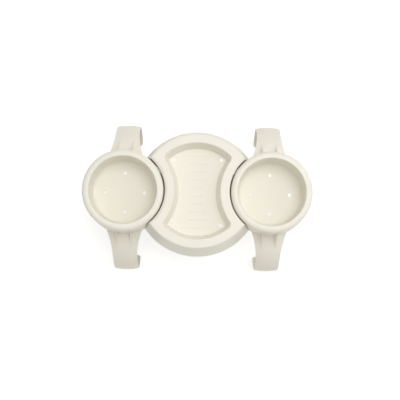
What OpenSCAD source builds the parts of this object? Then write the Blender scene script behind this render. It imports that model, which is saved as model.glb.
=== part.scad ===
// Drink holder for the round-topped wall of an inflatable pool.
// Two cup holders clip over the wall, and a snack tray nests in the gap between them.
// Depths are measured down from the rims, which lie in one level plane.

/* [Layout] */
// Distance between the axes of the two cup holders
cup_pitch = 225; // [215:1:240]
// Wall thickness of all three mouldings
wall = 2.5; // [2:0.1:3]
// Thickness of the floors
floor_t = 3; // [2:0.5:4]
// Diameter of the drain holes
drain_d = 5; // [4:0.5:6]
// Rounding of the edges at the mouths of the wells and of the recess
mouth_round = 1.5; // [0.8:0.1:2]
// Clearance between the snack tray and the hooks that carry it
seat_clear = 0.3; // [0.2:0.1:0.6]

/* [Cup well] */
// Inside diameter of a cup well at its mouth
cup_d = 103; // [95:1:108]
// Depth of a cup well below its rim
cup_depth = 45; // [38:1:60]
// Lean of the wall of a cup well, in degrees
cup_draft = 3; // [1:0.5:4]
// Fillet between the wall and the floor of a cup well
cup_fillet = 5.5; // [3:0.5:8]
// Number of drain holes in the floor of a cup well
cup_drains = 4; // [3:1:8]
// Diameter of the circle that those drain holes lie on
drain_circle_d = 60.5; // [40:0.5:75]

/* [Rim and skirt] */
// Width of the rim, from the mouth of the well to the outside of the skirt
rim_w = 10; // [9:0.5:13]
// Rounding of the outer edge of the rim
rim_round = 6.5; // [4:0.5:7]
// Distance that the skirt reaches below the floor of the well
skirt_reach = 12; // [10:0.5:14]
// Lean of the skirt, in degrees
skirt_draft = 2; // [0.5:0.5:2.5]

/* [Clip arms] */
// Span over the two arms of a cup holder
arm_span = 235; // [228:1:250]
// Width of an arm
arm_w = 37.4; // [30:0.2:44]
// Thickness of an arm
arm_t = 3; // [2.5:0.5:4]
// Outer radius of the bend that goes round the pool wall
bend_r = 80; // [74:1:86]
// Angle by which the tip of an arm turns back under the pool wall, in degrees
tip_angle = 42; // [20:1:60]
// Rounding of the corners at the tip of an arm
tip_round = 9; // [3:0.5:12]
// Radius, seen from above, of the crown across an arm
crown_r = 95; // [85:1:110]
// Radius, seen from above, of the flare between an arm and the skirt
flare_r = 130; // [110:5:150]
// Distance from the middle of the cup holder at which the flare runs out
flare_end = 104; // [98:1:108]
// Distance between the two gussets at the root of an arm
gusset_pitch = 22; // [16:1:26]
// Thickness of a gusset
gusset_t = 2.6; // [1.8:0.1:3]
// Distance that a gusset reaches out from the skirt
gusset_reach = 21; // [14:1:24]
// Height of a gusset on the skirt
gusset_h = 18; // [12:1:24]
// Radius of the hollow upper edge of a gusset
gusset_sweep_r = 75; // [50:1:110]

/* [Hooks for the tray] */
// Angle round the skirt that a hook covers, in degrees
hook_angle = 60; // [30:1:70]
// Thickness of a hook
hook_t = 2; // [1.5:0.1:2.5]
// Height of the lip of a hook over the floor of its trough
hook_lip = 7; // [4:0.5:10]

/* [Snack tray] */
// Diameter of the tray at its top, before the edge is rounded
tray_d = 173.6; // [164:0.2:180]
// Lean of the outer wall of the tray, in degrees
tray_draft = 11; // [8:0.5:14]
// Rounding of the outer edge of the tray
tray_round = 3; // [2.8:0.1:4]
// Gap at the top between a cup holder's skirt and the scallop that it nests in
scallop_gap = 2; // [1.4:0.1:2.4]
// Gap at the bottom between a cup holder's skirt and the scallop
scallop_foot_gap = 0.5; // [0.4:0.1:0.8]
// Rounding of the upper edge of a scallop
scallop_round = 4.5; // [3:0.1:5]

/* [Tray recess] */
// Diameter of the recess at its mouth, between its two outer walls
recess_d = 146; // [139:1:149]
// Width of the land between a scallop and the recess
land_w = 14.4; // [13:0.2:18]
// Depth of the recess
recess_depth = 24; // [18:1:26]
// Lean of the walls of the recess, in degrees
recess_draft = 14; // [13.5:0.5:15.5]
// Fillet between the walls and the floor of the recess
recess_fillet = 1; // [0.8:0.1:1.6]
// Rounding, at the mouth, of the four corners of the recess
recess_corner_r = 8; // [7.4:0.1:9]
// Distance of a drain hole's centre from the outer edge of the recess floor
drain_inset = 4.3; // [4:0.1:6]
// Distance of a drain hole's centre from the side edge of the recess floor
drain_side_inset = 6.4; // [4:0.1:8]
// Number of grooves across the floor of the recess
groove_count = 10; // [4:2:10]
// Distance between neighbouring grooves
groove_pitch = 12.25; // [11:0.25:12.5]
// Width of a groove
groove_w = 1.6; // [1:0.1:2]
// Depth of a groove
groove_depth = 0.5; // [0.3:0.1:0.8]
// Distance from the ends of the grooves to the edge of the recess floor
groove_inset = 20; // [16:1:22]

/* [Hidden] */
$fn = 128;
cream = [0.93, 0.915, 0.86];
// How far a cutting body runs past what it cuts
past = 5;
// Height of the underside of an arm, at its root, above the foot of the skirt
arm_lift = 3;
// How far a rounding's arc passes through the straight edge that it blends into
blend = 0.0005;
// How far the rounding of a recess corner passes through the walls that it blends into
corner_step = 0.2;
// How far that rounding reaches below the floor of the recess
corner_sink = 0.5;

// Cup holder
cup_x = cup_pitch / 2;
mouth_r = cup_d / 2;
skirt_drop = cup_depth + skirt_reach;
rim_r = mouth_r + rim_w;
skirt_foot_r = rim_r + skirt_drop * tan(skirt_draft);
skirt_mid_r = skirt_foot_r - wall / 2;

// Bend of the clip arms
bend_y = arm_span / 2 - bend_r;
root_depth = skirt_drop - arm_t - arm_lift;
bend_depth = root_depth + sqrt(pow(bend_r, 2) - pow(skirt_mid_r - bend_y, 2));
crown_y = arm_span / 2 - crown_r;
arm_mid_r = bend_r - arm_t / 2;
rim_z = bend_depth + arm_mid_r * sin(tip_angle) + arm_t / 2;

// Flare between an arm and the skirt
flare_x = arm_w / 2 + flare_r;

// Hooks and the scallops that they carry
seat_depth = skirt_drop - hook_t;
tray_drop = seat_depth - seat_clear;
scallop_r = rim_r + scallop_gap;
scallop_foot_r = skirt_foot_r + scallop_foot_gap;
scallop_lean = atan((scallop_r - scallop_foot_r) / tray_drop);
lip_top = seat_depth - hook_lip;
lip_r = scallop_r + wall + seat_clear - min(lip_top * tan(scallop_lean), tray_drop * tan(scallop_lean));

// Recess of the tray
recess_r = recess_d / 2;
recess_side_r = scallop_r + land_w;
// Distance from the wall's sharp upper edge to the flat floor, seen from above
recess_run = (recess_depth - recess_fillet) * tan(recess_draft) + recess_fillet / cos(recess_draft);
groove_end_r = recess_side_r + recess_run + groove_inset;
groove_r = (groove_w * groove_w / 4 + groove_depth * groove_depth) / (2 * groove_depth);

// Point at a run t inward from the outer wall of the recess, and at a run s from its right side wall
function recess_point(t, s) =
    let (x = (cup_x * cup_x + pow(recess_r - t, 2) - pow(recess_side_r + s, 2)) / cup_pitch)
    [x, sqrt(pow(recess_r - t, 2) - x * x)];

// Depth of the upper side of an arm, at a place seen from above
function arm_depth(x, y) =
    bend_depth - sqrt(pow(bend_r, 2) - pow(norm([x, y - crown_y]) - (bend_y - crown_y), 2));

// Centre of the arc of radius r from p to q that lies on the left of the way from p to q
function arc_centre(p, q, r) =
    let (d = q - p, h = sqrt(r * r - d * d / 4))
    (p + q) / 2 + h * [-d[1], d[0]] / norm(d);

// Corner outside an arc of radius r about the origin, between the ways a and b, anticlockwise
module corner_section(a, b, r) {
    difference() {
        polygon(1.5 * r * [[0, 0], a, (a + b) / (1 + a * b), b]);
        circle(r + blend);
    }
}

// Section of a round hollow of radius r, whose wall leans inward, with a rounded mouth and a filleted floor
module hollow_section(r, drop, lean, mouth, fillet) {
    mouth_x = r - mouth * tan(lean) + mouth / cos(lean);
    floor_x = r - (drop - fillet) * tan(lean) - fillet / cos(lean);
    difference() {
        union() {
            polygon([[0, -drop], [r - drop * tan(lean), -drop], [r, 0], [r, past], [0, past]]);
            translate([mouth_x, -mouth])
                corner_section([0, 1], [-cos(lean), sin(lean)], mouth);
        }
        translate([floor_x, -drop + fillet])
            corner_section([0, -1], [cos(lean), -sin(lean)], fillet);
    }
}

// Section of a block with a rounded upper edge and a wall that leans outward
module block_section(r, drop, lean, round_r) {
    difference() {
        polygon([[0, -drop], [r + drop * tan(lean), -drop], [r, 0], [0, 0]]);
        translate([r + round_r * tan(lean) - round_r / cos(lean), -round_r])
            corner_section([cos(lean), sin(lean)], [0, 1], round_r);
    }
}

// The same block, drawn in by the wall thickness and open at the bottom
module inner_block_section(r, drop, lean, round_r) {
    translate([0, -wall])
        block_section(r + wall * tan(lean) - wall, drop, lean, max(round_r - wall, wall / 5));
}

// Hollow of a cup well, grown on all sides for the outside of its wall
module well_section(grow, bottom) {
    hollow_section(mouth_r + grow, cup_depth + bottom, cup_draft, mouth_round, cup_fillet + grow);
}

module cup_holder_section() {
    difference() {
        union() {
            difference() {
                block_section(rim_r, skirt_drop, skirt_draft, rim_round);
                inner_block_section(rim_r, skirt_drop, skirt_draft, rim_round);
            }
            intersection() {
                well_section(wall, floor_t);
                translate([0, -cup_depth - floor_t]) square([rim_r, cup_depth + floor_t - wall / 2]);
            }
        }
        well_section(0, 0);
    }
}

// Outline of an arm and its flare, seen from above
module arm_outline() {
    difference() {
        union() {
            polygon([[0, 0], [flare_x, flare_end], [-flare_x, flare_end]]);
            translate([-arm_w / 2, skirt_foot_r]) square([arm_w, arm_span / 2 + past - skirt_foot_r]);
        }
        for (side = [-1, 1])
            translate([side * flare_x, flare_end]) circle(flare_r);
        circle(skirt_mid_r);
    }
}

// Section along an arm: a bent strip that ends in a round edge
module arm_section() {
    tip = [cos(tip_angle), -sin(tip_angle)];
    translate([bend_y - crown_y, -bend_depth]) {
        intersection() {
            difference() {
                circle(bend_r);
                circle(bend_r - arm_t);
            }
            polygon([[0, 0], 2 * bend_r * tip, [2 * bend_r, 2 * bend_r], [0, 2 * bend_r]]);
        }
        translate(arm_mid_r * tip) circle(arm_t / 2 + blend);
    }
}

// Outline of an arm and its flare, seen along the arm
module arm_front() {
    half = arm_w / 2;
    difference() {
        translate([-flare_x, -rim_z]) square([2 * flare_x, rim_z]);
        for (side = [-1, 1])
            translate([side * (half - tip_round), tip_round - rim_z]) scale([side, 1])
                corner_section([0, -1], [1, 0], tip_round);
    }
}

module arm() {
    intersection() {
        translate([0, crown_y, 0]) rotate([0, 0, -90]) rotate_extrude() arm_section();
        translate([0, 0, -rim_z - past]) linear_extrude(rim_z + past) arm_outline();
        rotate([90, 0, 180]) linear_extrude(arm_span) arm_front();
    }
}

// Gusset on an arm, carried on as a web between the skirt and the wall of the well
module gusset() {
    x = gusset_pitch / 2;
    top = [skirt_mid_r, -arm_depth(x, skirt_foot_r) + gusset_h];
    end_y = skirt_foot_r + gusset_reach;
    end = [end_y, -arm_depth(x, end_y)];
    sink = [0, -arm_t / 2];
    translate([-gusset_t / 2, 0, 0]) rotate([90, 0, 90]) linear_extrude(gusset_t) {
        difference() {
            polygon([top, end, end + sink, [skirt_mid_r, -arm_depth(x, skirt_mid_r)] + sink]);
            translate(arc_centre(top, end, gusset_sweep_r)) circle(gusset_sweep_r);
        }
        polygon([
            [mouth_r + wall / 2, -wall / 2],
            [mouth_r + wall / 2 - cup_depth * tan(cup_draft), -cup_depth],
            [skirt_mid_r, wall - skirt_drop],
            [rim_r - wall / 2, -rim_round],
            [rim_r - rim_round, -wall / 2]
        ]);
    }
}

// Curved trough on the skirt that the lower edge of a scallop stands in
module hook() {
    lead = hook_t / 3;
    rotate([0, 0, -hook_angle / 2]) rotate_extrude(angle = hook_angle)
        polygon([
            [skirt_mid_r, -skirt_drop],
            [lip_r + hook_t - lead, -skirt_drop],
            [lip_r + hook_t, -skirt_drop + lead],
            [lip_r + hook_t, -lip_top - lead],
            [lip_r + hook_t - lead, -lip_top],
            [lip_r + lead, -lip_top],
            [lip_r, -lip_top - lead],
            [lip_r, -seat_depth],
            [skirt_mid_r, -seat_depth]
        ]);
}

// Cup holder with the snack tray on its right
module cup_holder() {
    difference() {
        union() {
            rotate([0, 0, 45]) rotate_extrude() cup_holder_section();
            for (side = [0, 180])
                rotate([0, 0, side]) {
                    arm();
                    for (x = [-gusset_pitch / 2, gusset_pitch / 2])
                        translate([x, 0, 0]) gusset();
                }
            hook();
        }
        for (i = [0:cup_drains - 1])
            rotate([0, 0, i * 360 / cup_drains])
                translate([drain_circle_d / 2, 0, -cup_depth - floor_t - past])
                    cylinder(d = drain_d, h = floor_t + 2 * past);
    }
}

// Hollow of the round scallop about the axis of a cup holder
module scallop(grow) {
    rotate_extrude()
        hollow_section(scallop_r + grow, tray_drop + past, scallop_lean, scallop_round, mouth_round);
}

// Hourglass between the two cup wells, grown on all sides for the outside of its wall
module recess(grow, bottom) {
    drop = recess_depth + bottom;
    span = 2 * recess_r;
    difference() {
        rotate_extrude()
            hollow_section(recess_r + grow, drop, recess_draft, mouth_round, recess_fillet);
        for (side = [-1, 1])
            translate([side * cup_x, 0, 0]) rotate_extrude() difference() {
                translate([0, -drop - past]) square([recess_side_r + recess_r, drop + 3 * past]);
                translate([recess_side_r - grow + span, 0]) mirror([1, 0])
                    hollow_section(span, drop, recess_draft, mouth_round, recess_fillet);
            }
    }
}

// Post that rounds the right rear corner of the recess
module corner_post() {
    at = recess_point(recess_corner_r, recess_corner_r);
    to_outer = at / norm(at);
    to_side = ([cup_x, 0] - at) / norm([cup_x, 0] - at);
    tip = (to_outer + to_side) / (1 + to_outer * to_side);
    drop = recess_depth + corner_sink;
    translate([at[0], at[1], 0]) difference() {
        translate([0, 0, -recess_depth - past]) linear_extrude(recess_depth + 2 * past)
            polygon(3 * recess_corner_r * [[0, 0], to_side, tip, to_outer]);
        rotate_extrude()
            hollow_section(recess_corner_r + corner_step, drop, recess_draft, mouth_round, wall / 10);
    }
}

// Grooves across the floor of the recess, which end on arcs about the cup axes
module grooves() {
    for (i = [0:groove_count - 1]) {
        y = (i - (groove_count - 1) / 2) * groove_pitch;
        half = cup_x - sqrt(pow(groove_end_r, 2) - y * y);
        translate([-half, y, groove_r - groove_depth - recess_depth])
            rotate([0, 90, 0]) cylinder(r = groove_r, h = 2 * half);
    }
}

module tray_drains() {
    at = recess_point(recess_run + drain_inset, recess_run + drain_side_inset);
    for (x = [-1, 1], y = [-1, 1])
        translate([x * at[0], y * at[1], -recess_depth - floor_t - past])
            cylinder(d = drain_d, h = floor_t + 2 * past);
}

module tray() {
    tray_r = tray_d / 2;
    difference() {
        rotate_extrude() block_section(tray_r, tray_drop, tray_draft, tray_round);
        for (side = [-1, 1])
            translate([side * cup_x, 0, 0]) scallop(0);
        difference() {
            rotate_extrude() inner_block_section(tray_r, tray_drop, tray_draft, tray_round);
            for (side = [-1, 1])
                translate([side * cup_x, 0, 0]) scallop(wall);
            recess(wall, floor_t);
        }
        difference() {
            recess(0, 0);
            for (x = [0, 1], y = [0, 1])
                mirror([x, 0, 0]) mirror([0, y, 0]) corner_post();
        }
        grooves();
        tray_drains();
    }
}

module snack_tray() {
    color(cream) translate([0, 0, rim_z]) tray();
}

module left_cup_holder() {
    color(cream) translate([-cup_x, 0, rim_z]) cup_holder();
}

module right_cup_holder() {
    color(cream) translate([cup_x, 0, rim_z]) rotate([0, 0, 180]) cup_holder();
}

snack_tray();
left_cup_holder();
right_cup_holder();
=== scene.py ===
import math

import bpy
from mathutils import Matrix, Vector


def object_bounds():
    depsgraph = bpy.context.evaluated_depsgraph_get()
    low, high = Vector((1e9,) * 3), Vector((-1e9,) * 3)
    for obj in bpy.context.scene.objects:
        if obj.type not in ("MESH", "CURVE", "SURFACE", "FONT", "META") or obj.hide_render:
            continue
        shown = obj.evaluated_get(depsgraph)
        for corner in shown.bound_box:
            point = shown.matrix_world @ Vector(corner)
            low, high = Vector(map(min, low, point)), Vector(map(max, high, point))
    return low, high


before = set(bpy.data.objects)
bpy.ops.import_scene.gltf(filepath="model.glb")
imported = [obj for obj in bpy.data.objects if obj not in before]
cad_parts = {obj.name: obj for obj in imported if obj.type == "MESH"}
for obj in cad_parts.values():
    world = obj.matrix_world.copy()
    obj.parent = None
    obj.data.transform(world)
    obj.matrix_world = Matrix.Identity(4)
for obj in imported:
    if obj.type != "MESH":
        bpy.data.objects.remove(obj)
cad_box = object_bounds()

scene = bpy.context.scene
scene.view_settings.view_transform = "Standard"

# Places and sizes are in metres, the lens and the sensor in millimetres, angles in degrees, lamps in watts
RIM_Z = cad_box[1][2]

CREAM = (0.838, 0.810, 0.725)
WHITE = (1, 1, 1, 1)

# Most of a noise texture's values lie between these two
NOISE_LOW = 0.3
NOISE_HIGH = 0.7


def link(tree, source, output, target, socket):
    tree.links.new(source.outputs[output], target.inputs[socket])


def set_inputs(node, values):
    for socket, value in values.items():
        node.inputs[socket].default_value = value


def new_material(name):
    """A material, with its node tree, its shader and the coordinates that go with the object."""
    material = bpy.data.materials.new(name)
    material.use_nodes = True
    tree = material.node_tree
    return material, tree, tree.nodes["Principled BSDF"], tree.nodes.new("ShaderNodeTexCoord")


def noise(tree, coords, scale, detail):
    node = tree.nodes.new("ShaderNodeTexNoise")
    set_inputs(node, {"Scale": scale, "Detail": detail})
    link(tree, coords, "Object", node, "Vector")
    return node


def spread(tree, source, low, high):
    """A value that varies between low and high as the noise does."""
    node = tree.nodes.new("ShaderNodeMapRange")
    set_inputs(node, {"From Min": NOISE_LOW, "From Max": NOISE_HIGH, "To Min": low, "To Max": high})
    link(tree, source, "Fac", node, "Value")
    return node


def tint(tree, source, colour, darkest, lightest):
    """A colour that varies between two shares of its strength as the noise does."""
    node = tree.nodes.new("ShaderNodeValToRGB")
    for stop, place, share in zip(node.color_ramp.elements, (NOISE_LOW, NOISE_HIGH), (darkest, lightest)):
        stop.position = place
        stop.color = [min(part * share, 1) for part in colour] + [1]
    link(tree, source, "Fac", node, "Fac")
    return node


def plastic(name, colour, roughness):
    """Moulded plastic: a faint flow pattern in its colour, uneven gloss, and a fine spark-eroded grain."""
    material, tree, shader, coords = new_material(name)

    flow = noise(tree, coords, scale=14, detail=3)
    link(tree, tint(tree, flow, colour, darkest=0.985, lightest=1.012), "Color", shader, "Base Color")

    unevenness = 0.05
    gloss = noise(tree, coords, scale=60, detail=5)
    varied = spread(tree, gloss, roughness - unevenness, roughness + unevenness)
    link(tree, varied, "Result", shader, "Roughness")

    grain = noise(tree, coords, scale=1400, detail=2)
    bump = tree.nodes.new("ShaderNodeBump")
    set_inputs(bump, {"Strength": 0.25, "Distance": 0.00008})
    link(tree, grain, "Fac", bump, "Height")
    link(tree, bump, "Normal", shader, "Normal")

    set_inputs(shader, {
        "IOR": 1.47,
        "Specular IOR Level": 0.35,
        "Subsurface Weight": 0.06,
        "Subsurface Radius": (1.0, 0.8, 0.55),
        "Subsurface Scale": 0.003,
    })
    return material


def seen(tree):
    """1 on rays that show a thing to the camera, also by a reflection or through glass, and 0 on the rest."""
    path = tree.nodes.new("ShaderNodeLightPath")
    shown, output = path, "Is Camera Ray"
    for ray in ("Is Glossy Ray", "Is Transmission Ray"):
        either = tree.nodes.new("ShaderNodeMath")
        either.operation = "MAXIMUM"
        link(tree, shown, output, either, 0)
        link(tree, path, ray, either, 1)
        shown, output = either, "Value"
    return shown


def when_seen(tree, shown, value, otherwise):
    """A value for rays that show a thing to the camera, and another for rays that only give light."""
    node = tree.nodes.new("ShaderNodeMapRange")
    set_inputs(node, {"To Min": otherwise, "To Max": value})
    link(tree, shown, "Value", node, "Value")
    return node


def floor_material():
    """A white floor that keeps the object's shadow: what it lacks to full white is added where it is seen."""
    material, tree, shader, coords = new_material("white_floor")
    set_inputs(shader, {
        "Base Color": (0.78, 0.765, 0.72, 1),
        "Specular IOR Level": 0.0,
        "Emission Color": (0.93, 0.95, 1, 1),
    })
    dullness = spread(tree, noise(tree, coords, scale=8, detail=2), low=0.85, high=0.95)
    link(tree, dullness, "Result", shader, "Roughness")
    lift = when_seen(tree, seen(tree), value=0.55, otherwise=0)
    link(tree, lift, "Result", shader, "Emission Strength")
    return material


def dress(pieces, material):
    for piece in pieces:
        piece.data.materials.clear()
        piece.data.materials.append(material)


def make_floor(reach):
    """A square floor, which reaches this far from the middle to each side."""
    corners = [(x * reach, y * reach, 0) for x, y in ((-1, -1), (1, -1), (1, 1), (-1, 1))]
    mesh = bpy.data.meshes.new("floor")
    mesh.from_pydata(corners, [], [(0, 1, 2, 3)])
    mesh.materials.append(floor_material())
    floor = bpy.data.objects.new("floor", mesh)
    scene.collection.objects.link(floor)


def make_world(light_colour, light_strength):
    """Even pale surroundings that light the object, and are plain white where they are seen."""
    world = bpy.data.worlds.new("studio")
    scene.world = world
    world.use_nodes = True
    tree = world.node_tree
    background = tree.nodes["Background"]
    shown = seen(tree)
    strength = when_seen(tree, shown, value=1, otherwise=light_strength)
    link(tree, strength, "Result", background, "Strength")
    colour = tree.nodes.new("ShaderNodeMix")
    colour.data_type = "RGBA"
    set_inputs(colour, {"A": light_colour, "B": WHITE})
    link(tree, shown, "Value", colour, "Factor")
    link(tree, colour, "Result", background, "Color")


def make_lamp(name, place, aim, size, power):
    """A round soft lamp."""
    data = bpy.data.lights.new(name, "AREA")
    data.shape = "DISK"
    data.size = size
    data.energy = power
    lamp = bpy.data.objects.new(name, data)
    lamp.location = place
    lamp.rotation_euler = (Vector(aim) - Vector(place)).to_track_quat("-Z", "Y").to_euler()
    scene.collection.objects.link(lamp)


def make_camera(aim, distance, elevation, roll, lens):
    """The photograph's view: from almost straight above, a little from the front."""
    tilt = Matrix.Rotation(math.radians(90 - elevation), 4, "X")
    turn = tilt @ Matrix.Rotation(math.radians(roll), 4, "Z")
    data = bpy.data.cameras.new("camera")
    data.lens = lens
    data.sensor_width = 36
    data.dof.use_dof = False
    camera = bpy.data.objects.new("camera", data)
    camera.matrix_world = Matrix.Translation(Vector(aim) + turn @ Vector((0, 0, distance))) @ turn
    scene.collection.objects.link(camera)
    scene.camera = camera


dress(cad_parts.values(), plastic("cream_plastic_grained", CREAM, roughness=0.42))
make_floor(reach=6)
make_world(light_colour=(1, 0.99, 0.955, 1), light_strength=0.555)
make_lamp("key", place=(0.4, 0.3, 2.3), aim=(0, 0, 0.1), size=1.6, power=21)
make_lamp("side", place=(1.8, 0.3, 1.5), aim=(0, 0, 0.15), size=1.6, power=7)
make_camera(aim=(0.0043, -0.0139, RIM_Z), distance=1.4, elevation=85, roll=0.9, lens=84)
